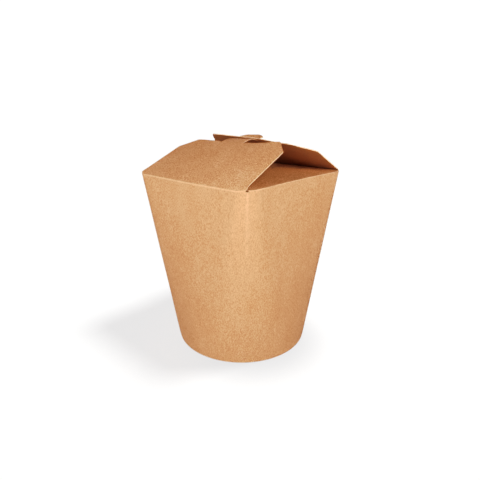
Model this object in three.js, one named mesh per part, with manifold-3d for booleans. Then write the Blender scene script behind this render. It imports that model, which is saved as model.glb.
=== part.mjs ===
// A shut takeaway carton folded from kraft board: a round foot, a square mouth, two tucked
// side flaps and two larger flaps locked by a tongue in a slit.
// Millimetres, +Z up, origin at the centre of the foot on the table.  The front is at -Y.

import * as THREE from 'three';
import { mergeVertices } from 'three/addons/utils/BufferGeometryUtils.js';
import Module from 'manifold-3d';

const wasm = await Module();
wasm.setup();

// Driving dimensions
const MOUTH_SIDE = 93;          // between opposite creases, measured at the corners
const WALL_HEIGHT = 112;        // table to the creases
const FOOT_RADIUS = 43.6;
const CORNER_RADIUS = 8.4;      // of the mouth's outline
const LOCK_BOW = 0.5;           // the front and back creases bow outwards
const TUCK_BOW = -1.6;          // the side creases bow inwards
const CREASE_DIP = 0.65;        // the front and back creases lie this much lower
const CORNER_SPREAD = 82;       // degrees of the foot's circle that fan into each corner
const BOARD = 0.55;             // thickness of the board

const FLAP_DEPTH = 46;          // crease to free edge, along the flap
const FRONT_HALF_WIDTH = 42.6;  // to the flap's side edges
const FRONT_SHIFT = -0.5;       // the front flap sits a little to the left
const BACK_HALF_WIDTH = 43.5;
const FRONT_SLOPE = 24.8;       // degrees above level
const LEFT_TWIST = 1.3;         // degrees lost by the flap's left side edge
const RIGHT_TWIST = 2;          // degrees gained by its right side edge
const DIP_DEPTH = 0.8;          // the free edge is pressed down at the right of the tongue
const DIP_PLACE = 14;
const DIP_WIDTH = 12;
const DIP_START = 12;           // before the free edge
const DIP_END = 6;              // in plan, past the centre
const LEFT_CHAMFER = 9.4;
const RIGHT_CHAMFER = 8.9;
const BACK_SLOPE = 27.2;
const BACK_DROOP = 2.4;         // degrees lost where the back flap sags
const DROOP_MIDDLE = 30;        // the sag grows from x = 0 to here
const DROOP_END = 46;           // and is gone again here
const BACK_LIFT = 0.7;          // degrees gained to the left, from x = 0 to here
const LIFT_END = -30;
const BACK_CHAMFER = 12.8;
const BACK_LEFT_CHAMFER = 12.3; // along the free edge
const BACK_LEFT_RUN = 14.4;     // along the side edge

const TONGUE_SHIFT = -2.8;      // the tongue and its slit sit to the left of the middle
const NECK_HALF_WIDTH = 8.9;    // the tongue's neck, between two relief notches
const NOTCH_WIDTH = 2;
const NOTCH_DEPTH = 1;
const HEAD_HALF_WIDTH = 10.6;   // the tongue's head, beyond the slit
const HEAD_TAPER = 5.2;         // from the head's side to the straight part of its tip
const SHOULDER_INSET = 1.1;     // the head's sides bend here, towards the tip
const SHOULDER_DROP = 1.8;
const TONGUE_TIP = 14;          // how far past the centre the tongue reaches
const NECK_FLARE = 1;           // over which the neck widens to the head
const SLIT_HALF_LENGTH = 9.8;
const SLIT_FRONT = 7.3;         // the slit's edges in plan
const SLIT_BACK = 9.4;
const LEVELLING = -0.36;        // change of gradient towards the neck
const LEVELLING_LENGTH = 12;
const LEVELLING_START = 5;      // before the front flap's free edge
const LEVELLED_INNER = 14;      // full up to here to either side, and gone out here
const LEVELLED_OUTER = 32;
const NECK_BEND = -0.42;        // change of gradient down towards the slit
const BENDING_START = 1;        // in plan, past the centre
const BENDING_LENGTH = 4;
const TONGUE_TILT = 0.82;       // change of gradient beyond the slit
const TILTING_LENGTH = 3;

const TUCK_HALF_WIDTH = 43;     // the side flaps, nearly level
const TUCK_CORNER = 2.5;
const TUCK_RISE = 1;            // from the side crease to the centre
const TUCK_GAP = 0.6;           // between the two tucked flaps
const TUCK_INSET = 0.6;         // the raised plates start this far inside the creases
const TUCK_STEP = 1.2;          // the filled carton lies this much lower at the centre
const RELIEF_RADIUS = 0.8;      // the small cut where two flaps meet at a corner
const RELIEF_DEPTH = 0.9;

const RIM_WIDTH = 1.6;          // the wall's folded lower edge, which rests on the table
const FOOT_RECESS = 3;          // the base disc sits this far above the table
const SKIRT_LIFT = 0.4;         // the disc's turned-down skirt stops short of the table
const FIT_GAP = 0.3;
const CREASE_INSET = 0.15;      // the flaps' sheets start this far inside their creases
const OVERLAP = 1;              // how far one shape runs past another before it is cut

const RADIAL_STEPS = 96;
const STRAIGHT_SHARE = 0.25;    // of each quarter's steps, on its straight side
const WALL_LEVELS = 6;
const SHEET_STEP = 3.4;         // grid of the bent flaps

const HALF = MOUTH_SIDE / 2;
const TAU = 2 * Math.PI;

function degrees(angle) {
  return THREE.MathUtils.degToRad(angle);
}

// Closed solids to and from three.js geometry

function toSolid(geometry) {
  const plain = geometry.clone();
  plain.deleteAttribute('normal');
  plain.deleteAttribute('uv');
  const merged = mergeVertices(plain, 1e-4);
  return new wasm.Manifold(new wasm.Mesh({
    numProp: 3,
    vertProperties: new Float32Array(merged.attributes.position.array),
    triVerts: new Uint32Array(merged.index.array),
  }));
}

function toGeometry(solid) {
  const mesh = solid.getMesh();
  const geometry = new THREE.BufferGeometry();
  geometry.setAttribute('position', new THREE.BufferAttribute(mesh.vertProperties, 3));
  geometry.setIndex(new THREE.BufferAttribute(mesh.triVerts, 1));
  geometry.computeVertexNormals();
  return geometry;
}

// Moves each vertex of a geometry to the place that a function gives for it.
function bend(geometry, place) {
  const position = geometry.attributes.position;
  const point = new THREE.Vector3();
  for (let i = 0; i < position.count; i += 1) {
    point.fromBufferAttribute(position, i);
    position.setXYZ(i, ...place(point));
  }
  return geometry;
}

// A plan outline carried straight up between two heights.
function prism(shape, low, high) {
  const geometry = new THREE.ExtrudeGeometry(shape, {
    depth: high - low,
    bevelEnabled: false,
    curveSegments: 8,
  });
  return toSolid(geometry.translate(0, 0, low));
}

function block(x0, x1, y0, y1, z0, z1) {
  const geometry = new THREE.BoxGeometry(x1 - x0, y1 - y0, z1 - z0);
  return toSolid(geometry.translate((x0 + x1) / 2, (y0 + y1) / 2, (z0 + z1) / 2));
}

// The mouth's outline

// Distance from the centre to a crease, at an offset along that crease.
function creaseReach(offset, bow) {
  const past = Math.max(0, Math.abs(offset) - (HALF - CORNER_RADIUS));
  const square = HALF - CORNER_RADIUS + Math.sqrt(CORNER_RADIUS ** 2 - past ** 2);
  return square + bow * (1 - (offset / HALF) ** 2);
}

// Splits a turn from 0 to 1 into its quarter and how far it has gone along that quarter's
// straight side, from -1 to 1, and then round its corner, from 0 to 1.
function splitTurn(turn) {
  const quarter = Math.floor(turn * 4);
  const share = turn * 4 - quarter;
  return {
    quarter,
    side: Math.min(1, 2 * share / STRAIGHT_SHARE - 1),
    corner: Math.max(0, (share - STRAIGHT_SHARE) / (1 - STRAIGHT_SHARE)),
  };
}

// A point of the rounded square before bowing.
function squarePoint(turn) {
  const { quarter, side, corner } = splitTurn(turn);
  const straight = HALF - CORNER_RADIUS;
  const swing = corner * TAU / 4;
  const x = straight + CORNER_RADIUS * Math.cos(swing);
  const y = straight * side + CORNER_RADIUS * Math.sin(swing);
  return new THREE.Vector2(x, y).rotateAround(new THREE.Vector2(), quarter * TAU / 4);
}

function mouthPoint(turn) {
  const { x, y } = squarePoint(turn);
  return new THREE.Vector2(
    x + TUCK_BOW * (x / HALF) * (1 - (y / HALF) ** 2),
    y + LOCK_BOW * (y / HALF) * (1 - (x / HALF) ** 2),
  );
}

// The matching point of the foot's circle: the corners fan over most of it.
function footPoint(turn) {
  const { quarter, side, corner } = splitTurn(turn);
  const angle = side * (90 - CORNER_SPREAD) / 2 + corner * CORNER_SPREAD;
  const heading = degrees(90 * quarter + angle);
  return new THREE.Vector2(FOOT_RADIUS * Math.cos(heading), FOOT_RADIUS * Math.sin(heading));
}

// The side creases are level up to the corners' middles, and the creases of the locking
// flaps lie in those flat flaps.
function creaseHeight(x, y) {
  if (Math.abs(y) < Math.abs(x) + RELIEF_RADIUS / 2) {
    return WALL_HEIGHT;
  }
  return y < 0 ? frontHeight(x, y) : backHeight(x, y);
}

// The wall: straight lines of the board run from the foot's circle to the mouth.
function wallBody() {
  const drum = new THREE.CylinderGeometry(1, 1, 1, RADIAL_STEPS, WALL_LEVELS);
  drum.rotateX(Math.PI / 2);
  bend(drum, ({ x, y, z }) => {
    const level = z + 0.5;
    const radius = Math.hypot(x, y);
    if (radius < 0.5) {
      return [0, 0, level * (WALL_HEIGHT - TUCK_STEP)];
    }
    const step = Math.round((Math.atan2(y, x) / TAU) * RADIAL_STEPS);
    const turn = ((step + RADIAL_STEPS) % RADIAL_STEPS) / RADIAL_STEPS;
    const mouth = mouthPoint(turn);
    const point = footPoint(turn).lerp(mouth, level);
    return [point.x, point.y, level * creaseHeight(mouth.x, mouth.y)];
  });
  return toSolid(drum);
}

// The locking flaps

// Height of a flat flap above the mouth, at a distance inward from the centre plane.
function flapRise(inward, slope) {
  return Math.tan(degrees(slope)) * (HALF - inward) - CREASE_DIP;
}

// How far a path departs from its first gradient, where the gradient changes evenly over a
// stretch that begins at a given place.
function gradientChange(place, begin, length, change) {
  const past = THREE.MathUtils.clamp(place - begin, 0, length);
  const beyond = Math.max(0, place - begin - length);
  return change * (past ** 2 / (2 * length) + beyond);
}

const FRONT_EDGE = -HALF + FLAP_DEPTH * Math.cos(degrees(FRONT_SLOPE));

// How far the front flap is pressed down about its free edge.
function frontDip(x, y) {
  const across = Math.exp(-(((x - DIP_PLACE) / DIP_WIDTH) ** 2));
  const before = THREE.MathUtils.smoothstep(y, FRONT_EDGE - DIP_START, FRONT_EDGE);
  const after = THREE.MathUtils.smoothstep(y, FRONT_EDGE, DIP_END);
  return DIP_DEPTH * across * before * (1 - after);
}

// The front flap levels out near its free edge, most of all at the tongue, whose neck arches
// down to the slit and tilts up beyond it.
function frontHeight(x, y) {
  const slope = FRONT_SLOPE + (x < 0 ? LEFT_TWIST : RIGHT_TWIST) * x / FRONT_HALF_WIDTH;
  const nearTongue = 1 - THREE.MathUtils.smoothstep(Math.abs(x), LEVELLED_INNER, LEVELLED_OUTER);
  const begin = FRONT_EDGE - LEVELLING_START;
  const levelling = gradientChange(y, begin, LEVELLING_LENGTH, LEVELLING) * nearTongue;
  const arch = gradientChange(y, BENDING_START, BENDING_LENGTH, NECK_BEND);
  const tilt = gradientChange(y, SLIT_FRONT - 1, TILTING_LENGTH, TONGUE_TILT);
  return WALL_HEIGHT + flapRise(-y, slope) + levelling + arch + tilt - frontDip(x, y);
}

// The back flap sags a little at the right of its middle and stands a little higher at its left.
function backHeight(x, y) {
  const grown = THREE.MathUtils.smoothstep(x, 0, DROOP_MIDDLE);
  const gone = THREE.MathUtils.smoothstep(x, DROOP_MIDDLE, DROOP_END);
  const lifted = THREE.MathUtils.smoothstep(-x, 0, -LIFT_END);
  const slope = BACK_SLOPE - BACK_DROOP * (grown - gone) + BACK_LIFT * lifted;
  return WALL_HEIGHT + flapRise(y, slope);
}

// A bent sheet of board between two plan lines, with its upper face at the given height.
function sheet(height, firstY, lastY) {
  const width = 2 * BACK_HALF_WIDTH;
  const columns = Math.round(width / SHEET_STEP);
  const rows = Math.round(Math.abs(lastY - firstY(0)) / SHEET_STEP);
  const thickness = BOARD / Math.cos(degrees(FRONT_SLOPE));
  const slab = new THREE.BoxGeometry(width, 1, 1, columns, rows, 1);
  bend(slab, ({ x, y, z }) => {
    const along = THREE.MathUtils.lerp(firstY(x), lastY, y + 0.5);
    const top = height(x, along);
    return [x, along, z > 0 ? top : top - thickness];
  });
  return toSolid(slab);
}

function frontOutline() {
  const edge = FRONT_EDGE;
  const flapLeft = FRONT_SHIFT - FRONT_HALF_WIDTH;
  const flapRight = FRONT_SHIFT + FRONT_HALF_WIDTH;
  const neckLeft = TONGUE_SHIFT - NECK_HALF_WIDTH;
  const neckRight = TONGUE_SHIFT + NECK_HALF_WIDTH;
  const left = TONGUE_SHIFT - HEAD_HALF_WIDTH;
  const right = TONGUE_SHIFT + HEAD_HALF_WIDTH;
  const outline = new THREE.Shape();
  outline.moveTo(flapLeft, -MOUTH_SIDE);
  outline.lineTo(flapRight, -MOUTH_SIDE);
  outline.lineTo(flapRight, edge - RIGHT_CHAMFER);
  outline.lineTo(flapRight - RIGHT_CHAMFER, edge);
  outline.lineTo(neckRight + NOTCH_WIDTH, edge);
  outline.lineTo(neckRight + NOTCH_WIDTH, edge - NOTCH_DEPTH);
  outline.lineTo(neckRight, edge - NOTCH_DEPTH);
  outline.lineTo(neckRight, SLIT_BACK);
  outline.lineTo(right, SLIT_BACK + NECK_FLARE);
  outline.lineTo(right - SHOULDER_INSET, TONGUE_TIP - SHOULDER_DROP);
  outline.lineTo(right - HEAD_TAPER, TONGUE_TIP);
  outline.lineTo(left + HEAD_TAPER, TONGUE_TIP);
  outline.lineTo(left + SHOULDER_INSET, TONGUE_TIP - SHOULDER_DROP);
  outline.lineTo(left, SLIT_BACK + NECK_FLARE);
  outline.lineTo(neckLeft, SLIT_BACK);
  outline.lineTo(neckLeft, edge - NOTCH_DEPTH);
  outline.lineTo(neckLeft - NOTCH_WIDTH, edge - NOTCH_DEPTH);
  outline.lineTo(neckLeft - NOTCH_WIDTH, edge);
  outline.lineTo(flapLeft + LEFT_CHAMFER, edge);
  outline.lineTo(flapLeft, edge - LEFT_CHAMFER);
  return outline;
}

function backOutline() {
  const edge = HALF - FLAP_DEPTH * Math.cos(degrees(BACK_SLOPE));
  const outline = new THREE.Shape();
  outline.moveTo(BACK_HALF_WIDTH, MOUTH_SIDE);
  outline.lineTo(-BACK_HALF_WIDTH, MOUTH_SIDE);
  outline.lineTo(-BACK_HALF_WIDTH, edge + BACK_LEFT_RUN);
  outline.lineTo(-BACK_HALF_WIDTH + BACK_LEFT_CHAMFER, edge);
  outline.lineTo(BACK_HALF_WIDTH - BACK_CHAMFER, edge);
  outline.lineTo(BACK_HALF_WIDTH, edge + BACK_CHAMFER);
  return outline;
}

function lockingFlaps() {
  const low = WALL_HEIGHT - 2 * CREASE_DIP - 2 * BOARD;
  const high = WALL_HEIGHT + FLAP_DEPTH;
  const frontCrease = (x) => -creaseReach(x, LOCK_BOW) + CREASE_INSET;
  const backCrease = (x) => creaseReach(x, LOCK_BOW) - CREASE_INSET;
  const front = sheet(frontHeight, frontCrease, TONGUE_TIP + OVERLAP)
    .intersect(prism(frontOutline(), low, high));
  const slitLeft = TONGUE_SHIFT - SLIT_HALF_LENGTH;
  const slitRight = TONGUE_SHIFT + SLIT_HALF_LENGTH;
  const slit = block(slitLeft, slitRight, SLIT_FRONT, SLIT_BACK, low, high);
  const back = backSheet(backCrease).intersect(prism(backOutline(), low, high)).subtract(slit);
  return front.add(back);
}

// The back sheet's plan runs the other way, so it is built mirrored and turned round.
function backSheet(crease) {
  const mirrored = sheet((x, y) => backHeight(-x, -y), (x) => -crease(-x), 0);
  return mirrored.rotate([0, 0, 180]);
}

// The tucked flaps are flat, rise a little from the side creases and meet at the centre.

function tuckOutline() {
  const reach = TUCK_GAP / 2;
  const outline = new THREE.Shape();
  outline.moveTo(HALF, -TUCK_HALF_WIDTH);
  outline.lineTo(HALF, TUCK_HALF_WIDTH);
  outline.lineTo(reach + TUCK_CORNER, TUCK_HALF_WIDTH);
  outline.absarc(reach + TUCK_CORNER, TUCK_HALF_WIDTH - TUCK_CORNER, TUCK_CORNER, TAU / 4, TAU / 2);
  outline.lineTo(reach, -TUCK_HALF_WIDTH + TUCK_CORNER);
  outline.absarc(reach + TUCK_CORNER, -TUCK_HALF_WIDTH + TUCK_CORNER, TUCK_CORNER, TAU / 2, 3 * TAU / 4);
  return outline;
}

function tuckedFlaps() {
  const crease = HALF + TUCK_BOW;
  const low = WALL_HEIGHT - TUCK_STEP - TUCK_INSET;
  const high = WALL_HEIGHT + TUCK_RISE + OVERLAP;
  const ramp = new THREE.Shape();
  ramp.moveTo(0, low);
  ramp.lineTo(HALF, low);
  ramp.lineTo(HALF, WALL_HEIGHT - TUCK_RISE * (HALF - crease) / crease);
  ramp.lineTo(0, WALL_HEIGHT + TUCK_RISE);
  const depth = 2 * HALF;
  const wedge = new THREE.ExtrudeGeometry(ramp, { depth, bevelEnabled: false });
  wedge.translate(0, 0, -HALF).rotateX(TAU / 4);
  const mouth = new THREE.Shape();
  for (let step = 0; step < RADIAL_STEPS; step += 1) {
    const point = mouthPoint(step / RADIAL_STEPS).multiplyScalar(1 - TUCK_INSET / HALF);
    mouth[step === 0 ? 'moveTo' : 'lineTo'](point.x, point.y);
  }
  const flap = toSolid(wedge)
    .intersect(prism(tuckOutline(), low, high))
    .intersect(prism(mouth, low, high));
  return flap.add(flap.rotate([0, 0, 180]));
}

function cornerReliefs() {
  const corner = HALF - CORNER_RADIUS * (1 - Math.SQRT1_2);
  const cutter = new THREE.CylinderGeometry(RELIEF_RADIUS, RELIEF_RADIUS, 2 * RELIEF_DEPTH, 12);
  const first = toSolid(cutter.rotateX(Math.PI / 2)).translate([corner, corner, WALL_HEIGHT]);
  const pair = first.add(first.rotate([0, 0, 180]));
  return pair.add(pair.rotate([0, 0, 90]));
}

// The foot: a folded rim with the base disc pressed up inside it

function footPocket() {
  const radius = FOOT_RADIUS - RIM_WIDTH;
  const height = FOOT_RECESS + BOARD + FIT_GAP;
  const pocket = new THREE.CylinderGeometry(radius, radius, 2 * height, RADIAL_STEPS);
  return toSolid(pocket.rotateX(Math.PI / 2));
}

function baseDisc() {
  const outer = FOOT_RADIUS - RIM_WIDTH - FIT_GAP;
  const inner = outer - BOARD;
  const profile = [
    [0, FOOT_RECESS],
    [inner, FOOT_RECESS],
    [inner, SKIRT_LIFT],
    [outer, SKIRT_LIFT],
    [outer, FOOT_RECESS + BOARD],
    [0, FOOT_RECESS + BOARD],
  ].map(([radius, height]) => new THREE.Vector2(radius, height));
  const disc = new THREE.LatheGeometry(profile, RADIAL_STEPS);
  return toGeometry(toSolid(disc.rotateX(Math.PI / 2)));
}

function carton() {
  const solid = wallBody()
    .add(tuckedFlaps())
    .add(lockingFlaps())
    .subtract(cornerReliefs())
    .subtract(footPocket());
  return toGeometry(solid);
}

function kraft(colour, roughness) {
  return new THREE.MeshStandardMaterial({ color: colour, roughness, metalness: 0 });
}

function named(name, geometry, material) {
  const mesh = new THREE.Mesh(geometry, material);
  mesh.name = name;
  return mesh;
}

const box = new THREE.Group();
box.add(named('carton', carton(), kraft(0xcb9a6a, 0.82)));
box.add(named('base_disc', baseDisc(), kraft(0xb98a5c, 0.85)));

export default box;
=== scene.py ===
"""Looks of a shut takeaway carton folded from one blank of kraft board, on a pale floor.

The blank is one sheet: a wall that runs from a round foot to a square mouth, rolled over at the
foot, with two tucked side flaps and two locking flaps joined by a tongue in a slit.  Sizes are in
millimetres until a mesh is made, with +Z up, the front at -Y and the origin under the foot.
"""

import math

import bmesh
import bpy
import numpy as np
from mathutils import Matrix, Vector, noise
from mathutils.geometry import delaunay_2d_cdt


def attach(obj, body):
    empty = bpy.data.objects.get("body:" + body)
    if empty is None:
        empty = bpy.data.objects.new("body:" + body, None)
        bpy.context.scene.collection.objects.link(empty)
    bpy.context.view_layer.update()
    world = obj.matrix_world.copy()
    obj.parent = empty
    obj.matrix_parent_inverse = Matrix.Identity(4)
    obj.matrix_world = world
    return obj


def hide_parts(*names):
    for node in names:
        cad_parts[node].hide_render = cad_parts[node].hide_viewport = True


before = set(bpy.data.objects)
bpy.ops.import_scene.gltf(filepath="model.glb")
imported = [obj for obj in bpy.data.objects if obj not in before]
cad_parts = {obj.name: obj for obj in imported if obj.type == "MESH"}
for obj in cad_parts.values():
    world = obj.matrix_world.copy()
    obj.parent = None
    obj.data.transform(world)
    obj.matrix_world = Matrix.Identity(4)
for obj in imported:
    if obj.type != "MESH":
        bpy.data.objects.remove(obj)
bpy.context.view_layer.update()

MM = 0.001

# The carton's driving dimensions, with slopes, twists, droop and lift in degrees
MOUTH_SIDE = 93
WALL_HEIGHT = 112
FOOT_RADIUS = 43.6
CORNER_RADIUS = 8.4
LOCK_BOW = 0.5                  # how far the locking flaps' creases bow out in their middle
TUCK_BOW = -1.6                 # and the tucked flaps' creases
CREASE_DIP = 0.65               # how far the locking flaps' creases lie below the others
CORNER_SPREAD = 82              # degrees of the round foot under each corner
BOARD = 0.55

# The locking flaps.  The front one is shallowly dented near its edge; the back one sags on its
# right and stands a little steeper on its left.
FLAP_DEPTH = 46
FRONT_HALF_WIDTH = 42.6
FRONT_SHIFT = -0.5
BACK_HALF_WIDTH = 43.5
FRONT_SLOPE = 24.8
LEFT_TWIST = 1.3
RIGHT_TWIST = 2
DIP_DEPTH = 0.8
DIP_PLACE = 14
DIP_WIDTH = 12
DIP_START = 12
DIP_END = 6
LEFT_CHAMFER = 9.4
RIGHT_CHAMFER = 8.9
BACK_SLOPE = 27.2
BACK_DROOP = 2.4
DROOP_MIDDLE = 30
DROOP_END = 46
BACK_LIFT = 0.7
LIFT_END = -30
BACK_CHAMFER = 12.8
BACK_LEFT_CHAMFER = 12.3
BACK_LEFT_RUN = 14.4

# The tongue, the slit that it passes through, and the changes of the front flap's gradient on
# its way there: levelling out, bending down over the neck and tilting up through the slit
TONGUE_SHIFT = -2.8
NECK_HALF_WIDTH = 8.9
NOTCH_WIDTH = 2
NOTCH_DEPTH = 1
HEAD_HALF_WIDTH = 10.6
HEAD_TAPER = 5.2
SHOULDER_INSET = 1.1
SHOULDER_DROP = 1.8
HEAD_ROUNDING = 1.6
TONGUE_TIP = 14
NECK_FLARE = 1
SLIT_HALF_LENGTH = 9.8
SLIT_FRONT = 7.3
SLIT_BACK = 9.4
SLIT_EASE = 0.2                 # how far the slit is pushed open on both sides
SLIT_SKEW = 0.075               # as the sagging flap is pushed back on its left
SLIT_END_RADIUS = 0.2
SLIT_SIDE_RADIUS = 0.4
NECK_END = 10.2
LEVELLING = -0.36
LEVELLING_LENGTH = 12
LEVELLING_START = 5
LEVELLED_INNER = 14
LEVELLED_OUTER = 32
NECK_BEND = -0.42
BENDING_START = 1
BENDING_LENGTH = 4
TONGUE_TILT = 0.82
TILTING_START = SLIT_FRONT - 1
TILTING_LENGTH = 3

TUCK_HALF_WIDTH = 43
TUCK_CORNER = 2.5
TUCK_TURN = 1                   # of a tucked flap's outline where it leaves its crease
TUCK_RISE = 1                   # of the tucked flaps' free middle, over the mouth
TUCK_GAP = 0.6                  # between the two
TUCK_TRAPPED = 30               # beyond this the tucked flaps are pressed level by the others
TUCK_OVERLAP = 2                # how far inside its crease a tucked flap's outline starts
CREASE_TURN = 1.5               # of the front flap's outline where it leaves its crease

RIM_WIDTH = 1.6                 # of the roll round the foot
WALL_START = 2 * RIM_WIDTH      # height of the wall's lowest row, over the roll
HEM_HEIGHT = 3.4                # how far the board runs up again inside the foot
FOOT_RECESS = 3                 # of the base disc, over the table
SKIRT_LIFT = 0.4                # of its turned-down skirt
FIT_GAP = 0.3                   # between the skirt and the hem

# What the board does at its folds and edges
FOLD_REACH = 0.9                # how far a crease's rounding runs to either side
FLAP_END = 39.5                 # degrees that each flap's crease runs round the corners
RELIEF_DEPTH = 0.95             # of the small cut at each corner, between two flaps
RELIEF_FLARE = 0.4              # how much deeper it is in its middle, as a share
CORNER_RIDGE = 0.14             # the soft upright crease at each corner
RIDGE_WIDTH = 0.9
RIDGE_RISE = (0.35, 0.97)       # shares of the wall's height over which it grows
WEAR_AND_HIGHLIGHT_WIDTH = 0.35             # of the pale line along each crease, partly rubbed wear and partly a painted highlight
CORNER_WEAR_AND_HIGHLIGHT = 0.5                # how pale the line on the upright crease is, over the others: partly rubbed wear, partly a painted highlight
CORNER_WEAR_AND_HIGHLIGHT_WIDTH = 1.3          # and how wide
CORNER_WEAR_AND_HIGHLIGHT_RISE = (60, 105)     # heights over which it grows
DIE_RADIUS = 0.9                # of the flaps' outer corners
BACK_RADIUS = 2.4 * DIE_RADIUS  # of the one beside the back flap's sag
WALL_BULGE = 1.1                # of each side's middle, halfway up
WAVE = 0.06                     # the board's unevenness
WAVE_LENGTH = 26
WALL_CALM = (12, 1)             # distances from a crease over which a wall's unevenness ends
FLAP_CALM = (2, 14)             # and over which a flap's begins
SEAM_PLACE = 0.4724             # of the back wall's half width, from its middle
SEAM_STEP = 0.004               # of the half width, over which the overlap's edge drops
SEAM_LIFT = 0.42
SEAM_FADE = (1, 14)             # distances behind its edge over which the overlap sinks in
SEAM_FOOT = 1
SEAM_TOP = (3, 2.4)             # distances below the crease over which it ends

# The base disc
BASE_RADIUS = FOOT_RADIUS - RIM_WIDTH - FIT_GAP
BASE_INNER = BASE_RADIUS - BOARD
BASE_TOP = FOOT_RECESS + BOARD
INNER_BEND = 0.4
BASE_HUB = 2                    # radius of the innermost ring of points
BASE_FLAT = 3                   # how far in from its edge the disc is flat beneath
BASE_CALM = (1, 8)              # distances from the skirt over which its unevenness begins
BASE_WAVE_PLACE = 60            # where in the unevenness the disc lies
KNURLED = (0.7, 2.2)            # heights between which the skirt's inside is knurled
KNURL_DEPTH = 0.07
KNURLS = 120

# How finely the meshes are cut
SIDE_COLUMNS = 40
CORNER_STATIONS = 10
RELIEF_STATIONS = 4
ANGLE_SLACK = 1e-6              # so that the last station of a flap counts as its own
WALL_ROWS = 56
FOLD_ROWS = 6
ROLL_ROWS = 8
GRID_STEP = 1.35
EDGE_STEP = 1.4
CURVE_STEP = 0.25
ROUNDED_SHARE = 0.49            # the most that a rounding takes of a stretch, at each end
EDGE_CLEARANCE = 0.45           # grid steps left free along an outline
SAME_POINT = 1e-7               # in an outline's plan
WELD_DISTANCE = 0.002
SMOOTH_ANGLE = 38
BASE_RINGS = 12
BASE_BEND = range(0, 91, 18)    # degrees round each bend of the disc
SKIRT_ROWS = 6
BASE_AROUND = 480

HALF = MOUTH_SIDE / 2
STRAIGHT = HALF - CORNER_RADIUS
FRONT_EDGE = -HALF + FLAP_DEPTH * math.cos(math.radians(FRONT_SLOPE))
BACK_EDGE = HALF - FLAP_DEPTH * math.cos(math.radians(BACK_SLOPE))
OUTER, INNER, CUT = range(3)    # the carton's materials

# The board's colours
KRAFT = (0.64, 0.367, 0.188)
# The inner face, darker and redder than the outside: partly its own tone, partly painted shade
KRAFT_INSIDE_WITH_SHADE = (0.52, 0.27, 0.13)
KRAFT_CUT = (0.78, 0.53, 0.31)
# The pale colour along the creases: partly rubbed wear, partly a painted highlight
KRAFT_WEAR_AND_HIGHLIGHT = (0.90, 0.61, 0.36)
BASE_TONE = 0.94                # of the base disc, over the carton's
TONE_PULL = (0.7, 1.0, 1.3)     # how far red, green and blue follow a change of tone

# Its mottle: sizes are those of the largest lumps, and weights are of the tone from 0 to 1
GRAIN_STRETCH = 0.5             # the fibres run up the walls and on over the flaps
CLOUD_SIZE, CLOUD_WEIGHT = 12, 0.18
MOTTLE_SIZE, MOTTLE_WEIGHT = 2.4, 0.10
GRAIN_SIZE, GRAIN_WEIGHT = 0.5, 1.2
TONE_LEVEL = -0.24              # brings the sum of the three to 0.5
TONE_SPREAD = 0.42
CRISPNESS = 0.6                 # how strong the smaller lumps are beside the larger ones
FLAP_GROWTH = 0.6               # of the mottle on the locking flaps, over the walls'
TUCKED_GROWTH = 3               # times that much on the tucked ones
INSIDE_CONTRAST = 1.2           # of the mottle inside, over that outside
WEAR_AND_HIGHLIGHT_PALENESS = 0.8           # along a crease's middle, partly rubbed wear and partly a painted highlight
# patches of the pale crease line, which is partly rubbed wear and partly a painted highlight
WEAR_AND_HIGHLIGHT_SIZE, WEAR_AND_HIGHLIGHT_GAIN, WEAR_AND_HIGHLIGHT_LEVEL = 1.2, 1.6, -0.2

# Its fibres
DARK_FIBRES = (1.1, 0.62)       # size, and tone over the board's
PALE_FIBRES = (0.9, 1.28)
FIBRE_SHARE = 0.22
FIBRE_BEND = 1.2
FIBRE_SHARPNESS = 45
BREAK_SIZE, BREAK_GAIN, BREAK_LEVEL = 1.3, 7, -4

# Its surface
BOARD_ROUGHNESS = 0.82
INSIDE_ROUGHNESS = 0.6
ROUGHNESS_SPREAD = 0.16
BOARD_SPECULAR = 0.12
TOOTH_SIZE, TOOTH_DEPTH = 1.0, 0.2
GRAIN_RELIEF = 0.3              # of the tooth's depth
PLY_SIZE = 0.18
PLY_TONES = ((0.3, 0.82), (0.7, 1.1))
CUT_ROUGHNESS = 0.9
CUT_SPECULAR = 0.2
TORN_SIZE, TORN_DEPTH = 0.3, 0.03

# Camera: distances in pixels of a square picture, the place in millimetres, angles in degrees
PICTURE_SIDE = 480
FOCAL_PIXELS = 392.2
CENTRE_OFF = -1.54
SENSOR_WIDTH = 36
CAMERA_PLACE = (167.0, -184.2, 150.6)
CAMERA_PITCH = 18.856
CAMERA_AZIMUTH = 42.2

# Area lights on the carton alone.  Each has its azimuth from the front and its elevation in
# degrees, its distance and width in metres, and its power in watts.
LIGHT_TARGET = (0, 0, 0.06)
AREA_LIGHTS = {
    "key_right": (70, 35, 0.6, 0.3, 1.2),
    "key_left": (-20, 35, 0.6, 0.3, 0.81),
    "key_top": (0, 50, 0.6, 0.3, 0.28),
    "key_side": (85, 20, 0.6, 0.3, 0.26),
    "near_low": (10, 16, 0.34, 0.16, 0.29),
    "near_right": (70, 30, 0.36, 0.16, 0.355),
    "back": (225, 12, 0.8, 0.4, 2.1),
}

# The sun on the floor alone, which casts the long shadow: azimuth, elevation and width in
# degrees, and strength
SHADOW_SUN = (130, 66.5, 13, 3.92)

# Room and floor
BACKDROP = 1.1
ROOM_LIGHT = 0.10
FLOOR_BOUNCE = 1.02
HORIZON_BLUR = 0.05
FLOOR_HALF_SIDE = 6             # metres
FLOOR_GLOW = 0.775
FLOOR_TONE = 0.2
PAINTED_SHADOW_CENTRE = (13.2, -5.6, 0)   # the painted shadow in the floor's colour round the foot
PAINTED_SHADOW_INNER = 28
PAINTED_SHADOW_OUTER = 60
PAINTED_SHADOW_DEPTH = 0.8

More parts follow.
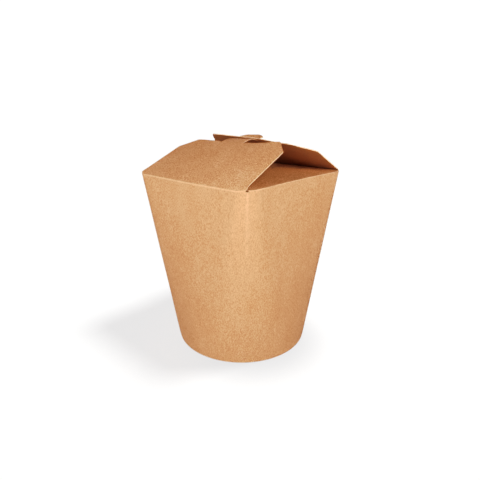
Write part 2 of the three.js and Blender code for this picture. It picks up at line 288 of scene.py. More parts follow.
# Points of the display curves of green and blue, from a value to another
GREEN_CURVE = ((0.048, 0.030), (0.17, 0.105), (0.35, 0.302), (0.44, 0.448), (0.6, 0.6))
BLUE_CURVE = ((0.016, 0.009), (0.084, 0.030), (0.184, 0.134), (0.23, 0.222), (0.4, 0.4))


# Small helpers

def smoothstep(value, low, high):
    share = min(1.0, max(0.0, (value - low) / (high - low)))
    return share * share * (3 - 2 * share)


def mix(first, second, share):
    return tuple(a + (b - a) * share for a, b in zip(first, second))


def turned(x, y, angle):
    cos, sin = math.cos(math.radians(angle)), math.sin(math.radians(angle))
    return x * cos - y * sin, x * sin + y * cos


def wave(x, y, z):
    return WAVE * noise.noise(Vector((x, y, z)) / WAVE_LENGTH)


# Heights of the four flaps' outer faces over the plan

def lock_rise(inward, slope):
    return math.tan(math.radians(slope)) * (HALF - inward) - CREASE_DIP


def gradient_change(place, begin, length, change):
    past = min(length, max(0.0, place - begin))
    beyond = max(0.0, place - begin - length)
    return change * (past ** 2 / (2 * length) + beyond)


def front_dip(x, y):
    across = math.exp(-((x - DIP_PLACE) / DIP_WIDTH) ** 2)
    before = smoothstep(y, FRONT_EDGE - DIP_START, FRONT_EDGE)
    return DIP_DEPTH * across * before * (1 - smoothstep(y, FRONT_EDGE, DIP_END))


def front_height(x, y):
    slope = FRONT_SLOPE + (LEFT_TWIST if x < 0 else RIGHT_TWIST) * x / FRONT_HALF_WIDTH
    near_tongue = 1 - smoothstep(abs(x), LEVELLED_INNER, LEVELLED_OUTER)
    begin = FRONT_EDGE - LEVELLING_START
    levelling = gradient_change(y, begin, LEVELLING_LENGTH, LEVELLING) * near_tongue
    arch = gradient_change(y, BENDING_START, BENDING_LENGTH, NECK_BEND)
    tilt = gradient_change(y, TILTING_START, TILTING_LENGTH, TONGUE_TILT)
    return WALL_HEIGHT + lock_rise(-y, slope) + levelling + arch + tilt - front_dip(x, y)


def back_height(x, y):
    grown = smoothstep(x, 0, DROOP_MIDDLE)
    gone = smoothstep(x, DROOP_MIDDLE, DROOP_END)
    lifted = smoothstep(-x, 0, -LIFT_END)
    return WALL_HEIGHT + lock_rise(y, BACK_SLOPE - BACK_DROOP * (grown - gone) + BACK_LIFT * lifted)


def tuck_height(x, y):
    inward = 1 - abs(x) / (HALF + TUCK_BOW)
    free = 1 - smoothstep(abs(y), TUCK_TRAPPED, TUCK_HALF_WIDTH)
    return WALL_HEIGHT + TUCK_RISE * inward * free


# The wall: one column for each straight line of the board from the foot to the mouth

class Column:
    """One line of the wall, at a share of a side from -1 to 1 and then round a corner."""

    def __init__(self, quarter, side, corner):
        self.quarter = quarter
        self.side = side
        self.corner = corner
        swing = math.radians(90 * corner)
        x, y = turned(
            STRAIGHT + CORNER_RADIUS * math.cos(swing),
            STRAIGHT * side + CORNER_RADIUS * math.sin(swing),
            90 * quarter,
        )
        self.mouth = (
            x + TUCK_BOW * (x / HALF) * (1 - (y / HALF) ** 2),
            y + LOCK_BOW * (y / HALF) * (1 - (x / HALF) ** 2),
        )
        self.mouth_heading = 90 * (quarter + corner)
        fan = side * (90 - CORNER_SPREAD) / 2 + corner * CORNER_SPREAD
        self.foot_heading = 90 * quarter + fan
        self.foot = turned(FOOT_RADIUS, 0, self.foot_heading)
        self.flap = self.find_flap()
        self.height = self.crease_height()

    def find_flap(self):
        """The number of the flap that folds at this column, or None at a corner's relief."""
        if 90 * self.corner <= FLAP_END + ANGLE_SLACK:
            return self.quarter
        if 90 * (1 - self.corner) <= FLAP_END + ANGLE_SLACK:
            return (self.quarter + 1) % 4
        return None

    def crease_height(self):
        height = front_height if self.mouth[1] < 0 else back_height
        locking = height(*self.mouth)
        if self.flap is not None:
            return locking if self.flap % 2 else WALL_HEIGHT
        across = (90 * self.corner - FLAP_END) / (90 - 2 * FLAP_END)
        ends = (locking, WALL_HEIGHT) if self.quarter % 2 else (WALL_HEIGHT, locking)
        return ends[0] + (ends[1] - ends[0]) * across

    def wall_top(self):
        """Share of the height where the wall gives way to a fold or to a relief's cut edge."""
        if self.flap is not None:
            return 1 - FOLD_REACH / self.height
        across = (90 * self.corner - 45) / (45 - FLAP_END)
        return 1 - RELIEF_DEPTH * (1 + RELIEF_FLARE * (1 - across ** 2)) / self.height

    def lift(self, share):
        """How far the board stands out from the straight line."""
        height = share * self.height
        begin, end = (WALL_HEIGHT - gap for gap in WALL_CALM)
        calm = smoothstep(height, 0, WALL_CALM[0]) * (1 - smoothstep(height, begin, end))
        out = wave(*mix(self.foot, self.mouth, share), height) * calm
        if self.corner > 0:
            ridge = math.exp(-(self.off_corner() / RIDGE_WIDTH) ** 2)
            out += CORNER_RIDGE * ridge * smoothstep(share, *RIDGE_RISE)
        out += WALL_BULGE * (1 - self.side ** 2) * 4 * share * (1 - share)
        return out + self.seam(height)

    def off_corner(self):
        """Distance round the mouth from the middle of the corner."""
        return (self.corner - 0.5) * math.radians(90) * CORNER_RADIUS

    def corner_wear_and_highlight(self, height):
        """How pale the soft upright crease at a corner's middle is: partly rubbed wear, partly a
        painted highlight.
        """
        if self.corner == 0:
            return 0.0
        mark = fold_wear_and_highlight(self.off_corner() / CORNER_WEAR_AND_HIGHLIGHT_WIDTH)
        return CORNER_WEAR_AND_HIGHLIGHT * mark * smoothstep(height, *CORNER_WEAR_AND_HIGHLIGHT_RISE)

    def seam(self, height):
        """The glued overlap: a step on the back wall that fades into the board beside it."""
        if self.quarter != 1 or self.corner > 0 or self.side > SEAM_PLACE:
            return 0.0
        past = (SEAM_PLACE - self.side) * STRAIGHT
        begin, end = (WALL_HEIGHT - gap for gap in SEAM_TOP)
        ends = smoothstep(height, 0, SEAM_FOOT) * (1 - smoothstep(height, begin, end))
        return SEAM_LIFT * (1 - smoothstep(past, *SEAM_FADE)) * ends

    def wall_point(self, share):
        x, y = mix(self.foot, self.mouth, share)
        heading = self.foot_heading + (self.mouth_heading - self.foot_heading) * share
        dx, dy = turned(self.lift(share), 0, heading)
        return x + dx, y + dy, share * self.height

    def foot_points(self):
        """Down the hem inside the foot and round its rolled lower edge."""
        roll = RIM_WIDTH / 2
        profile = [(-roll, HEM_HEIGHT), (-roll, (HEM_HEIGHT + roll) / 2)]
        for step in range(ROLL_ROWS + 1):
            angle = math.pi * (1 + step / ROLL_ROWS)
            profile.append((roll * math.cos(angle), roll * (1 + math.sin(angle))))
        middle = FOOT_RADIUS - roll
        return [(*turned(middle + out, 0, self.foot_heading), z) for out, z in profile]

    def wall_points(self):
        shares = np.linspace(WALL_START / self.height, self.wall_top(), WALL_ROWS)
        return [self.wall_point(share) for share in shares]

    def fold_points(self):
        """Over the crease, from the wall's top row to the flap's first row."""
        inward = turned(-1, 0, 90 * self.flap)
        x = self.mouth[0] + FOLD_REACH * inward[0]
        y = self.mouth[1] + FOLD_REACH * inward[1]
        last = (x, y, FLAPS[self.flap]["height"](x, y))
        crease = (*self.mouth, self.height)
        first = self.wall_point(self.wall_top())
        points = []
        for step in range(1, FOLD_ROWS + 1):
            share = step / FOLD_ROWS
            points.append(mix(mix(first, crease, share), mix(crease, last, share), share))
        return points


def make_columns():
    """All columns, counter-clockwise from the front end of the right side."""
    stations = [
        *np.linspace(0, FLAP_END, CORNER_STATIONS + 1)[1:],
        *np.linspace(FLAP_END, 90 - FLAP_END, RELIEF_STATIONS + 1)[1:],
        *np.linspace(90 - FLAP_END, 90, CORNER_STATIONS + 1)[1:-1],
    ]
    made = []
    for quarter in range(4):
        sides = list(np.linspace(-1, 1, SIDE_COLUMNS + 1))
        if quarter == 1:
            sides = sorted([*sides, SEAM_PLACE, SEAM_PLACE + SEAM_STEP])
        made += [Column(quarter, side, 0) for side in sides]
        made += [Column(quarter, 1, angle / 90) for angle in stations]
    return made


# The flaps' plan outlines, from the end of the crease round to its start.  A point is
# (x, y, radius of the corner there).

def front_outline():
    left, right = FRONT_SHIFT - FRONT_HALF_WIDTH, FRONT_SHIFT + FRONT_HALF_WIDTH
    head_left, head_right = TONGUE_SHIFT - HEAD_HALF_WIDTH, TONGUE_SHIFT + HEAD_HALF_WIDTH
    neck_left, neck_right = TONGUE_SHIFT - NECK_HALF_WIDTH, TONGUE_SHIFT + NECK_HALF_WIDTH
    shoulder = TONGUE_TIP - SHOULDER_DROP
    inset = FRONT_EDGE - NOTCH_DEPTH
    fine = NOTCH_DEPTH / 3
    return [
        (right, -TUCK_HALF_WIDTH + CREASE_TURN, CREASE_TURN),
        (right, FRONT_EDGE - RIGHT_CHAMFER, DIE_RADIUS),
        (right - RIGHT_CHAMFER, FRONT_EDGE, DIE_RADIUS),
        (neck_right + NOTCH_WIDTH, FRONT_EDGE, fine),
        (neck_right + NOTCH_WIDTH, inset, fine),
        (neck_right, inset, fine),
        (neck_right, NECK_END, fine),
        (head_right, NECK_END + NECK_FLARE, DIE_RADIUS),
        (head_right - SHOULDER_INSET, shoulder, HEAD_ROUNDING),
        (head_right - HEAD_TAPER, TONGUE_TIP, HEAD_ROUNDING),
        (head_left + HEAD_TAPER, TONGUE_TIP, HEAD_ROUNDING),
        (head_left + SHOULDER_INSET, shoulder, HEAD_ROUNDING),
        (head_left, NECK_END + NECK_FLARE, DIE_RADIUS),
        (neck_left, NECK_END, fine),
        (neck_left, inset, fine),
        (neck_left - NOTCH_WIDTH, inset, fine),
        (neck_left - NOTCH_WIDTH, FRONT_EDGE, fine),
        (left + LEFT_CHAMFER, FRONT_EDGE, DIE_RADIUS),
        (left, FRONT_EDGE - LEFT_CHAMFER, DIE_RADIUS),
        (left, -TUCK_HALF_WIDTH + CREASE_TURN, CREASE_TURN),
    ]


def back_outline():
    return [
        (-BACK_HALF_WIDTH, BACK_EDGE + BACK_LEFT_RUN, DIE_RADIUS),
        (-BACK_HALF_WIDTH + BACK_LEFT_CHAMFER, BACK_EDGE, DIE_RADIUS),
        (BACK_HALF_WIDTH - BACK_CHAMFER, BACK_EDGE, BACK_RADIUS),
        (BACK_HALF_WIDTH, BACK_EDGE + BACK_CHAMFER, DIE_RADIUS),
    ]


def slit_outline():
    front, back = SLIT_FRONT - SLIT_EASE, SLIT_BACK + SLIT_EASE
    middle = (front + back) / 2
    outline = [
        (-SLIT_HALF_LENGTH, middle, SLIT_END_RADIUS),
        (-NECK_HALF_WIDTH, back, SLIT_SIDE_RADIUS),
        (NECK_HALF_WIDTH, back, SLIT_SIDE_RADIUS),
        (SLIT_HALF_LENGTH, middle, SLIT_END_RADIUS),
        (NECK_HALF_WIDTH, front, SLIT_SIDE_RADIUS),
        (-NECK_HALF_WIDTH, front, SLIT_SIDE_RADIUS),
    ]
    return [(TONGUE_SHIFT + x, y - SLIT_SKEW * x, radius) for x, y, radius in outline]


def tuck_outline(sign):
    near, far = HALF + TUCK_BOW - TUCK_OVERLAP, TUCK_GAP / 2
    outline = [
        (near, TUCK_HALF_WIDTH, TUCK_TURN),
        (far, TUCK_HALF_WIDTH, TUCK_CORNER),
        (far, -TUCK_HALF_WIDTH, TUCK_CORNER),
        (near, -TUCK_HALF_WIDTH, TUCK_TURN),
    ]
    return [(sign * x, sign * y, radius) for x, y, radius in outline]


FLAPS = [
    {"height": tuck_height, "outline": tuck_outline(1), "holes": []},
    {"height": back_height, "outline": back_outline(), "holes": [slit_outline()]},
    {"height": tuck_height, "outline": tuck_outline(-1), "holes": []},
    {"height": front_height, "outline": front_outline(), "holes": []},
]


# Filling an outline with triangles

def rounded(corners):
    """The path through corner points, each rounded by its radius; the two ends stay."""
    path = [corners[0][:2]]
    for before, here, after in zip(corners, corners[1:], corners[2:]):
        place = Vector(here[:2])
        first = Vector(before[:2]) - place
        last = Vector(after[:2]) - place
        reach = min(here[2], ROUNDED_SHARE * first.length, ROUNDED_SHARE * last.length)
        start = place + first.normalized() * reach
        end = place + last.normalized() * reach
        steps = max(2, round(reach / CURVE_STEP))
        for step in range(steps + 1):
            share = step / steps
            path.append(tuple(start.lerp(place, share).lerp(place.lerp(end, share), share)))
    path.append(corners[-1][:2])
    return path


def divided(path, step):
    """The same path with its long stretches divided, without its last point."""
    points = []
    for first, last in zip(path, path[1:]):
        parts = max(1, round(math.dist(first, last) / step))
        points += [mix(first, last, part / parts) for part in range(parts)]
    return points


def closed_ring(corners):
    wrapped = [corners[-1], *corners, corners[0]]
    ring = rounded(wrapped)[1:-1]
    return divided([*ring, ring[0]], EDGE_STEP)


def inside(points, ring):
    """Whether each point lies in a ring, by the even-odd rule."""
    x, y = points[:, :1], points[:, 1:]
    first = np.array(ring)
    last = np.roll(first, -1, axis=0)
    crosses = (first[:, 1] > y) != (last[:, 1] > y)
    rise_of = np.where(last[:, 1] == first[:, 1], 1, last[:, 1] - first[:, 1])
    cut = first[:, 0] + (y - first[:, 1]) * (last[:, 0] - first[:, 0]) / rise_of
    return (crosses & (x < cut)).sum(axis=1) % 2 == 1


def distance_to(points, ring):
    first = np.array(ring)[None]
    step = np.roll(first, -1, axis=1) - first
    to_point = points[:, None] - first
    length = np.maximum((step ** 2).sum(-1), 1e-12)
    share = np.clip((to_point * step).sum(-1) / length, 0, 1)
    return np.linalg.norm(to_point - share[..., None] * step, axis=-1).min(axis=1)


def fill(rings):
    """Plan points and triangles over the first ring, leaving out the others."""
    low, high = np.min(rings[0], axis=0), np.max(rings[0], axis=0)
    grid = []
    for row, y in enumerate(np.arange(low[1], high[1], GRID_STEP * math.sqrt(0.75))):
        shift = GRID_STEP / 2 * (row % 2)
        grid += [(x + shift, y) for x in np.arange(low[0], high[0], GRID_STEP)]
    grid = np.array(grid)
    grid = grid[inside(grid, rings[0])]
    for ring in rings[1:]:
        grid = grid[~inside(grid, ring)]
    for ring in rings:
        grid = grid[distance_to(grid, ring) > EDGE_CLEARANCE * GRID_STEP]
    points, edges = [], []
    for ring in rings:
        start, count = len(points), len(ring)
        points += ring
        edges += [(start + i, start + (i + 1) % count) for i in range(count)]
    vectors = [Vector(point) for point in [*points, *grid.tolist()]]
    found = delaunay_2d_cdt(vectors, edges, [], 0, SAME_POINT)
    plan = np.array([tuple(point) for point in found[0]])
    triangles = np.array(found[2])
    corners = plan[triangles]
    centres = corners.mean(axis=1)
    kept = inside(centres, rings[0])
    for ring in rings[1:]:
        kept &= ~inside(centres, ring)
    a, b = corners[:, 1] - corners[:, 0], corners[:, 2] - corners[:, 0]
    backward = a[:, 0] * b[:, 1] < a[:, 1] * b[:, 0]
    triangles[backward] = triangles[backward][:, ::-1]
    return plan, triangles[kept]


# The carton's outer face as one open sheet

def fold_wear_and_highlight(gap):
    """How pale the board is at a distance from a crease: partly rubbed wear, partly a painted
    highlight.
    """
    return math.exp(-(gap / WEAR_AND_HIGHLIGHT_WIDTH) ** 2)


class Sheet:
    """Points and faces, with the marks and the grain coordinates of the board."""

    def __init__(self):
        self.points = []
        self.marks = []
        self.grains = []
        self.flats = []
        self.faces = []
        self.slots = []

    def add_points(self, points, marks, grains, flat):
        start = len(self.points)
        self.points += points
        self.marks += marks
        self.grains += grains
        self.flats += [flat] * len(points)
        return start

    def add_strip(self, first, last, slot=OUTER):
        """Quads between two columns of point numbers."""
        for a, b, c, d in zip(first, last, last[1:], first[1:]):
            self.faces.append((a, b, c, d))
            self.slots.append(slot)


def add_wall(sheet, columns):
    numbers = []
    for column in columns:
        foot, wall = column.foot_points(), column.wall_points()
        fold = column.fold_points() if column.flap is not None else []
        points = [*foot, *wall, *fold]
        gaps = [column.height - point[2] for point in [*foot, *wall]]
        gaps += [abs(2 * (step + 1) / FOLD_ROWS - 1) * FOLD_REACH for step in range(len(fold))]
        # pale lines along the creases and corners: partly rubbed wear, partly a painted highlight
        marks = [max(fold_wear_and_highlight(gap), column.corner_wear_and_highlight(z)) for gap, (_, _, z) in zip(gaps, points)]
        grains = [(x, y, WALL_HEIGHT - GRAIN_STRETCH * (WALL_HEIGHT - z)) for x, y, z in points]
        start = sheet.add_points(points, marks, grains, 0.0)
        numbers.append(range(start, start + len(points)))
    for here, column, after in zip(numbers, columns, numbers[1:] + numbers[:1]):
        shared = min(len(here), len(after))
        step = column.quarter == 1 and column.corner == 0 and column.side == SEAM_PLACE
        sheet.add_strip(here[:shared], after[:shared], CUT if step else OUTER)


def crease_row(columns, flap):
    """The flap's first row in plan, counter-clockwise."""
    row = [column for column in columns if column.flap == flap]
    before = [column for column in row if column.quarter != flap]
    after = [column for column in row if column.quarter == flap]
    return [column.fold_points()[-1][:2] for column in [*before, *after]]


def add_flap(sheet, columns, flap):
    kind = FLAPS[flap]
    row = crease_row(columns, flap)
    corners = [(*row[-1], 0), *kind["outline"], (*row[0], 0)]
    edge = divided(rounded(corners), EDGE_STEP)[1:]
    rings = [[*row, *edge], *(closed_ring(hole) for hole in kind["holes"])]
    plan, triangles = fill(rings)
    inward = Vector(turned(-1, 0, 90 * flap))
    points, marks, grains = [], [], []
    for x, y in plan:
        gap = HALF + inward.dot((x, y))
        uneven = wave(x, y, 0) * smoothstep(gap, *FLAP_CALM)
        points.append((x, y, kind["height"](x, y) + uneven))
        marks.append(fold_wear_and_highlight(gap))
        shift = inward * (gap * (1 - GRAIN_STRETCH))
        grains.append((x - shift.x, y - shift.y, points[-1][2]))
    start = sheet.add_points(points, marks, grains, 1.0 if flap % 2 else TUCKED_GROWTH)
    sheet.faces += [tuple(int(start + i) for i in triangle) for triangle in triangles]
    sheet.slots += [OUTER] * len(triangles)


def carton_sheet():
    sheet = Sheet()
    columns = make_columns()
    add_wall(sheet, columns)
    for flap in range(4):
        add_flap(sheet, columns, flap)
    return sheet


# Meshes

def make_object(name, points, faces, slots, materials):
    mesh = bpy.data.meshes.new(name)
    mesh.from_pydata([Vector(point) * MM for point in points], [], faces)
    mesh.polygons.foreach_set("material_index", slots)
    for material in materials:
        mesh.materials.append(material)
    piece = bpy.data.objects.new(name, mesh)
    bpy.context.collection.objects.link(piece)
    return piece


def set_grain(mesh, places):
    """The coordinates of the board's patterns, in millimetres."""
    attribute = mesh.attributes.new("grain", "FLOAT_VECTOR", "POINT")
    attribute.data.foreach_set("vector", np.array(places, dtype=np.float32).ravel())


def weld(mesh):
    work = bmesh.new()
    work.from_mesh(mesh)
    bmesh.ops.remove_doubles(work, verts=work.verts, dist=WELD_DISTANCE * MM)
    work.to_mesh(mesh)
    work.free()


def smooth(mesh):
    mesh.polygons.foreach_set("use_smooth", [True] * len(mesh.polygons))
    mesh.set_sharp_from_angle(angle=math.radians(SMOOTH_ANGLE))


def applied(piece):
    """The piece with its modifiers turned into mesh."""
    graph = bpy.context.evaluated_depsgraph_get()
    mesh = bpy.data.meshes.new_from_object(piece.evaluated_get(graph))
    piece.modifiers.clear()
    piece.data = mesh
    return piece


def make_carton(materials):
    sheet = carton_sheet()
    piece = make_object("carton_blank", sheet.points, sheet.faces, sheet.slots, materials)
    # the pale crease line, partly rubbed wear and partly a painted highlight, and the flaps' mottle
    # growth
    for name, values in (("wear_and_highlight", sheet.marks), ("flat", sheet.flats)):
        attribute = piece.data.attributes.new(name, "FLOAT", "POINT")
        attribute.data.foreach_set("value", values)
    set_grain(piece.data, sheet.grains)
    weld(piece.data)
    board = piece.modifiers.new("board", "SOLIDIFY")
    board.thickness = BOARD * MM
    board.offset = -1
    board.use_quality_normals = True
    board.material_offset = INNER
    board.material_offset_rim = CUT
    applied(piece)
    smooth(piece.data)
    return piece


def base_profile():
    """Radius and height over the disc's top, down its skirt and back under it."""
    bend = [(math.sin(math.radians(a)), math.cos(math.radians(a))) for a in BASE_BEND]
    rings = np.linspace(BASE_HUB, BASE_RADIUS - 2 * BOARD, BASE_RINGS)
    profile = [(radius, BASE_TOP) for radius in rings]
    profile += [
        (BASE_RADIUS - BOARD * (1 - sin), BASE_TOP - BOARD * (1 - cos))
        for sin, cos in bend
    ]
    profile += [(BASE_RADIUS, SKIRT_LIFT), (BASE_INNER, SKIRT_LIFT)]
    profile += [(BASE_INNER, height) for height in np.linspace(*KNURLED, SKIRT_ROWS)]
    profile += [
        (BASE_INNER - INNER_BEND * (1 - cos), FOOT_RECESS - INNER_BEND * (1 - sin))
        for sin, cos in bend
    ]
    rings = np.linspace(BASE_RADIUS - BASE_FLAT, BASE_HUB, BASE_RINGS)
    return profile + [(radius, FOOT_RECESS) for radius in rings]


def base_height(x, y, height):
    calm = smoothstep(BASE_INNER - math.hypot(x, y), *BASE_CALM)
    return height + wave(x, y, BASE_WAVE_PLACE) * calm


def make_base(materials):
    """The base disc: a tray turned upside down, with its skirt knurled by the press."""
    profile = base_profile()
    points, faces = [], []
    for radius, height in profile:
        knurled = abs(radius - BASE_INNER) < 0.01 and height > SKIRT_LIFT
        depth = KNURL_DEPTH if knurled else 0.0
        for step in range(BASE_AROUND):
            angle = math.tau * step / BASE_AROUND
            place = radius - depth * (1 - math.cos(KNURLS * angle)) / 2
            x, y = place * math.cos(angle), place * math.sin(angle)
            points.append((x, y, base_height(x, y, height)))
    for row in range(len(profile) - 1):
        for step in range(BASE_AROUND):
            here, after = row * BASE_AROUND + step, row * BASE_AROUND + (step + 1) % BASE_AROUND
            faces.append((here, here + BASE_AROUND, after + BASE_AROUND, after))
    for row, height in ((0, BASE_TOP), (len(profile) - 1, FOOT_RECESS)):
        middle = len(points)
        points.append((0, 0, base_height(0, 0, height)))
        for step in range(BASE_AROUND):
            ends = (row * BASE_AROUND + step, row * BASE_AROUND + (step + 1) % BASE_AROUND)
            faces.append((middle, *(ends if row == 0 else ends[::-1])))
    piece = make_object("base_disc_board", points, faces, [0] * len(faces), materials)
    set_grain(piece.data, points)
    smooth(piece.data)
    return piece


# Kraft board materials

class Shader:
    """A material's node tree, with short calls for the nodes it needs."""

    def __init__(self, name):
        self.material = bpy.data.materials.new(name)
        self.material.use_nodes = True
        self.tree = self.material.node_tree
        self.surface = self.tree.nodes["Principled BSDF"]

    def link(self, value, socket):
        if isinstance(value, bpy.types.NodeSocket):
            self.tree.links.new(value, socket)
        else:
            socket.default_value = value

    def math(self, operation, first, second=0.0, third=0.0, clamp=False):
        node = self.tree.nodes.new("ShaderNodeMath")
        node.operation = operation
        node.use_clamp = clamp
        for value, socket in zip((first, second, third), node.inputs):
            self.link(value, socket)
        return node.outputs[0]

    def place(self):
        """The board's own coordinates, in millimetres."""
        node = self.tree.nodes.new("ShaderNodeAttribute")
        node.attribute_name = "grain"
        return node.outputs["Vector"]

    def noise(self, place, size, detail=2.0, roughness=0.5, distortion=0.0):
        """Noise whose largest lumps are about a size in millimetres."""
        node = self.tree.nodes.new("ShaderNodeTexNoise")
        self.tree.links.new(place, node.inputs["Vector"])
        node.inputs["Scale"].default_value = 1 / size
        node.inputs["Detail"].default_value = detail
        node.inputs["Roughness"].default_value = roughness
        node.inputs["Distortion"].default_value = distortion
        return node.outputs["Fac"]

    def ramp(self, value, stops):
        node = self.tree.nodes.new("ShaderNodeValToRGB")
        self.tree.links.new(value, node.inputs[0])
        elements = node.color_ramp.elements
        while len(elements) < len(stops):
            elements.new(0.5)
        for element, (position, colour) in zip(elements, stops):
            element.position = position
            element.color = (*colour, 1)
        return node.outputs[0]

    def blend(self, share, first, second):
        node = self.tree.nodes.new("ShaderNodeMix")
        node.data_type = "RGBA"
        self.link(share, node.inputs["Factor"])
        for value, socket in ((first, node.inputs["A"]), (second, node.inputs["B"])):
            self.link(value if isinstance(value, bpy.types.NodeSocket) else (*value, 1), socket)
        return node.outputs["Result"]

    def attribute(self, name):
        node = self.tree.nodes.new("ShaderNodeAttribute")
        node.attribute_name = name
        return node.outputs["Fac"]

    def bump(self, height, depth):
        node = self.tree.nodes.new("ShaderNodeBump")
        self.tree.links.new(height, node.inputs["Height"])
        node.inputs["Distance"].default_value = depth * MM
        node.inputs["Strength"].default_value = 1
        self.tree.links.new(node.outputs[0], self.surface.inputs["Normal"])


def tinted(colour, factor):
    return tuple(part * factor for part in colour)


def shifted(colour, share):
    """Paler and cooler by a share, or darker and warmer where it is below 0."""
    return tuple(part * (1 + share * pull) for part, pull in zip(colour, TONE_PULL))


def fibres(shader, place, size):
    """Short broken threads, 1 on their lines and 0 between them."""
    thread = shader.noise(place, size, detail=1, distortion=FIBRE_BEND)
    away = shader.math("ABSOLUTE", shader.math("SUBTRACT", thread, 0.5))
    line = shader.math("MULTIPLY_ADD", away, -FIBRE_SHARPNESS, 1, clamp=True)
    kept = shader.noise(place, BREAK_SIZE, detail=1)
    kept = shader.math("MULTIPLY_ADD", kept, BREAK_GAIN, BREAK_LEVEL, clamp=True)
    return shader.math("MULTIPLY", line, kept)


def kraft(name, colour, rough, contrast=1.0, pale_wear_and_highlight=0.0, flat=0.0):
    """Uncoated kraft board: cloudy mottle, short dark and pale fibres and a faint tooth.

    pale_wear_and_highlight is how pale the board is made where the mesh's attribute
    "wear_and_highlight" is 1, partly rubbed wear and partly a painted highlight along the creases,
    and flat how far the mottle grows where its attribute "flat" is.
    """
    shader = Shader(name)
    place = shader.place()
    cloud = shader.noise(place, CLOUD_SIZE)
    mottle = shader.noise(place, MOTTLE_SIZE, roughness=CRISPNESS)
    grain = shader.noise(place, GRAIN_SIZE, roughness=CRISPNESS)
    tooth = shader.noise(place, TOOTH_SIZE, roughness=CRISPNESS)
    tone = shader.math("MULTIPLY_ADD", cloud, CLOUD_WEIGHT, TONE_LEVEL)
    tone = shader.math("MULTIPLY_ADD", mottle, MOTTLE_WEIGHT, tone)
    tone = shader.math("MULTIPLY_ADD", grain, GRAIN_WEIGHT, tone)
    if flat:
        gain = shader.math("MULTIPLY_ADD", shader.attribute("flat"), flat, 1)
        tone = shader.math("MULTIPLY_ADD", shader.math("SUBTRACT", tone, 0.5), gain, 0.5)
    spread = TONE_SPREAD * contrast
    board = shader.ramp(tone, [
        (0.0, shifted(colour, -spread)),
        (0.5, colour),
        (1.0, shifted(colour, spread)),
    ])
    for size, fibre_tone in (DARK_FIBRES, PALE_FIBRES):
        share = shader.math("MULTIPLY", fibres(shader, place, size), FIBRE_SHARE * contrast)
        board = shader.blend(share, board, tinted(colour, fibre_tone))
    # the pale line along the creases: partly rubbed wear, partly a painted highlight
    if pale_wear_and_highlight:
        wear_and_highlight = shader.noise(place, WEAR_AND_HIGHLIGHT_SIZE)
        wear_and_highlight = shader.math("MULTIPLY_ADD", wear_and_highlight, WEAR_AND_HIGHLIGHT_GAIN, WEAR_AND_HIGHLIGHT_LEVEL, clamp=True)
        wear_and_highlight = shader.math("MULTIPLY", wear_and_highlight, shader.attribute("wear_and_highlight"))
        board = shader.blend(shader.math("MULTIPLY", wear_and_highlight, pale_wear_and_highlight), board, KRAFT_WEAR_AND_HIGHLIGHT)
    shader.link(board, shader.surface.inputs["Base Color"])
    smoothest = rough - ROUGHNESS_SPREAD / 2
    roughness = shader.math("MULTIPLY_ADD", grain, ROUGHNESS_SPREAD, smoothest)
    shader.link(roughness, shader.surface.inputs["Roughness"])
    shader.surface.inputs["Specular IOR Level"].default_value = BOARD_SPECULAR
    shader.bump(shader.math("MULTIPLY_ADD", grain, GRAIN_RELIEF, tooth), TOOTH_DEPTH)
    return shader.material


def cut_edge(name, colour):
    """The board's cut edge: thin pale and brown plies with a torn grain."""
    shader = Shader(name)
    place = shader.place()
    plies = shader.noise(place, PLY_SIZE, roughness=CRISPNESS)
    board = shader.ramp(plies, [(stop, tinted(colour, tone)) for stop, tone in PLY_TONES])
    shader.link(board, shader.surface.inputs["Base Color"])
    shader.surface.inputs["Roughness"].default_value = CUT_ROUGHNESS
    shader.surface.inputs["Specular IOR Level"].default_value = CUT_SPECULAR
    shader.bump(shader.noise(place, TORN_SIZE), TORN_DEPTH)
    return shader.material


# Camera, lights and floor

def make_camera():
    data = bpy.data.cameras.new("camera")
    data.sensor_width = SENSOR_WIDTH
    data.lens = SENSOR_WIDTH * FOCAL_PIXELS / PICTURE_SIDE
    data.shift_x = CENTRE_OFF / PICTURE_SIDE
    camera = bpy.data.objects.new("camera", data)
    camera.location = Vector(CAMERA_PLACE) * MM
    turns = (90 - CAMERA_PITCH, 0, CAMERA_AZIMUTH)
    camera.rotation_euler = [math.radians(angle) for angle in turns]
    bpy.context.collection.objects.link(camera)
    bpy.context.scene.camera = camera


def aimed(azimuth, elevation):
    """Unit vector towards a place seen at an azimuth, from the front, and an elevation."""
    a, e = math.radians(azimuth), math.radians(elevation)
    return Vector((math.sin(a) * math.cos(e), -math.cos(a) * math.cos(e), math.sin(e)))


def make_light(data, towards):
    light = bpy.data.objects.new(data.name, data)
    light.rotation_euler = towards.to_track_quat("Z", "Y").to_euler()
    bpy.context.collection.objects.link(light)
    return light


def area_light(name, azimuth, elevation, distance, size, power):
    data = bpy.data.lights.new(name, "AREA")
    data.shape = "DISK"
    data.size = size
    data.energy = power
    towards = aimed(azimuth, elevation)
    light = make_light(data, towards)
    light.location = Vector(LIGHT_TARGET) + towards * distance
    return light


def sun_light(name, azimuth, elevation, width, power):
    data = bpy.data.lights.new(name, "SUN")
    data.angle = math.radians(width)
    data.energy = power
    return make_light(data, aimed(azimuth, elevation))


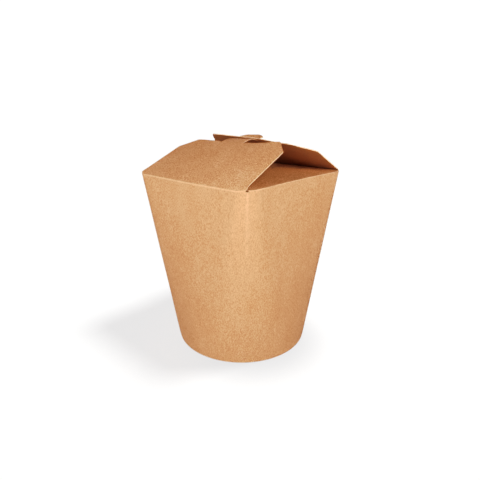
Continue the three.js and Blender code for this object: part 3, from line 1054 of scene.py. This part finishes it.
def make_world():
    """A dim room over a bright floor; straight to the camera it shows plain white."""
    world = bpy.data.worlds.new("studio")
    bpy.context.scene.world = world
    world.use_nodes = True
    tree = world.node_tree
    tree.nodes.clear()
    output = tree.nodes.new("ShaderNodeOutputWorld")
    seen = tree.nodes.new("ShaderNodeBackground")
    seen.inputs["Color"].default_value = (1, 1, 1, 1)
    seen.inputs["Strength"].default_value = BACKDROP
    lit = tree.nodes.new("ShaderNodeBackground")
    path = tree.nodes.new("ShaderNodeLightPath")
    choice = tree.nodes.new("ShaderNodeMixShader")
    direction = tree.nodes.new("ShaderNodeTexCoord")
    split = tree.nodes.new("ShaderNodeSeparateXYZ")
    ramp = tree.nodes.new("ShaderNodeMapRange")
    ramp.inputs["From Min"].default_value = -HORIZON_BLUR
    ramp.inputs["From Max"].default_value = HORIZON_BLUR
    ramp.inputs["To Min"].default_value = FLOOR_BOUNCE
    ramp.inputs["To Max"].default_value = ROOM_LIGHT
    links = tree.links
    links.new(direction.outputs["Generated"], split.inputs[0])
    links.new(split.outputs["Z"], ramp.inputs[0])
    links.new(ramp.outputs[0], lit.inputs["Strength"])
    links.new(path.outputs["Is Camera Ray"], choice.inputs[0])
    links.new(lit.outputs[0], choice.inputs[1])
    links.new(seen.outputs[0], choice.inputs[2])
    links.new(choice.outputs[0], output.inputs[0])


def make_floor():
    """A white floor, with a painted shadow in its own colour round the foot."""
    mesh = bpy.data.meshes.new("floor")
    corners = [(-1, -1, 0), (1, -1, 0), (1, 1, 0), (-1, 1, 0)]
    mesh.from_pydata([Vector(corner) * FLOOR_HALF_SIDE for corner in corners], [], [(0, 1, 2, 3)])
    floor = bpy.data.objects.new("floor", mesh)
    bpy.context.collection.objects.link(floor)
    shader = Shader("floor_white")
    shader.surface.inputs["Roughness"].default_value = 1
    shader.surface.inputs["Specular IOR Level"].default_value = 0
    shader.surface.inputs["Emission Color"].default_value = (1, 1, 1, 1)
    shader.surface.inputs["Emission Strength"].default_value = FLOOR_GLOW
    away = shader.tree.nodes.new("ShaderNodeVectorMath")
    away.operation = "DISTANCE"
    away.inputs[1].default_value = [part * MM for part in PAINTED_SHADOW_CENTRE]
    geometry = shader.tree.nodes.new("ShaderNodeNewGeometry")
    shader.link(geometry.outputs["Position"], away.inputs[0])
    # painted shadow: the floor's colour is darker near the foot
    painted_shadow = shader.tree.nodes.new("ShaderNodeMapRange")
    painted_shadow.interpolation_type = "SMOOTHSTEP"
    painted_shadow.inputs["From Min"].default_value = PAINTED_SHADOW_INNER * MM
    painted_shadow.inputs["From Max"].default_value = PAINTED_SHADOW_OUTER * MM
    painted_shadow.inputs["To Min"].default_value = FLOOR_TONE * (1 - PAINTED_SHADOW_DEPTH)
    painted_shadow.inputs["To Max"].default_value = FLOOR_TONE
    shader.link(away.outputs["Value"], painted_shadow.inputs["Value"])
    shader.link(painted_shadow.outputs[0], shader.surface.inputs["Base Color"])
    mesh.materials.append(shader.material)
    floor.visible_diffuse = False
    floor.visible_glossy = False
    return floor


def light_only(receivers, lights):
    """Lets lights fall on some objects alone; everything still casts its shadow."""
    lit = bpy.data.collections.new("lit_by_" + lights[0].name)
    for receiver in receivers:
        lit.objects.link(receiver)
    for light in lights:
        light.light_linking.receiver_collection = lit


def grade():
    """Plain display colours, whose green and blue fall a little faster in the shade."""
    view = bpy.context.scene.view_settings
    view.view_transform = "Standard"
    view.use_curve_mapping = True
    for channel, points in ((1, GREEN_CURVE), (2, BLUE_CURVE)):
        for point in points:
            view.curve_mapping.curves[channel].points.new(*point)
    view.curve_mapping.update()


def main():
    carton = make_carton([
        # the outside is made pale along its creases: partly rubbed wear, partly a painted highlight
        kraft(
            "kraft_outside", KRAFT, BOARD_ROUGHNESS, pale_wear_and_highlight=WEAR_AND_HIGHLIGHT_PALENESS, flat=FLAP_GROWTH
        ),
        # the inside's colour is darker partly by its own tone, partly by painted shade
        kraft("kraft_inside_with_painted_shade", KRAFT_INSIDE_WITH_SHADE, INSIDE_ROUGHNESS, contrast=INSIDE_CONTRAST),
        cut_edge("kraft_cut_edge", KRAFT_CUT),
    ])
    base = make_base([kraft("kraft_base", tinted(KRAFT, BASE_TONE), BOARD_ROUGHNESS)])
    for piece, node, slot in (
        (carton, "carton", "kraft_board"),
        (base, "base_disc", "kraft_base"),
    ):
        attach(piece, "root")
        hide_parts(node)
    make_world()
    floor = make_floor()
    light_only([carton, base], [area_light(name, *kind) for name, kind in AREA_LIGHTS.items()])
    light_only([floor], [sun_light("shadow_left", *SHADOW_SUN)])
    make_camera()
    grade()


main()
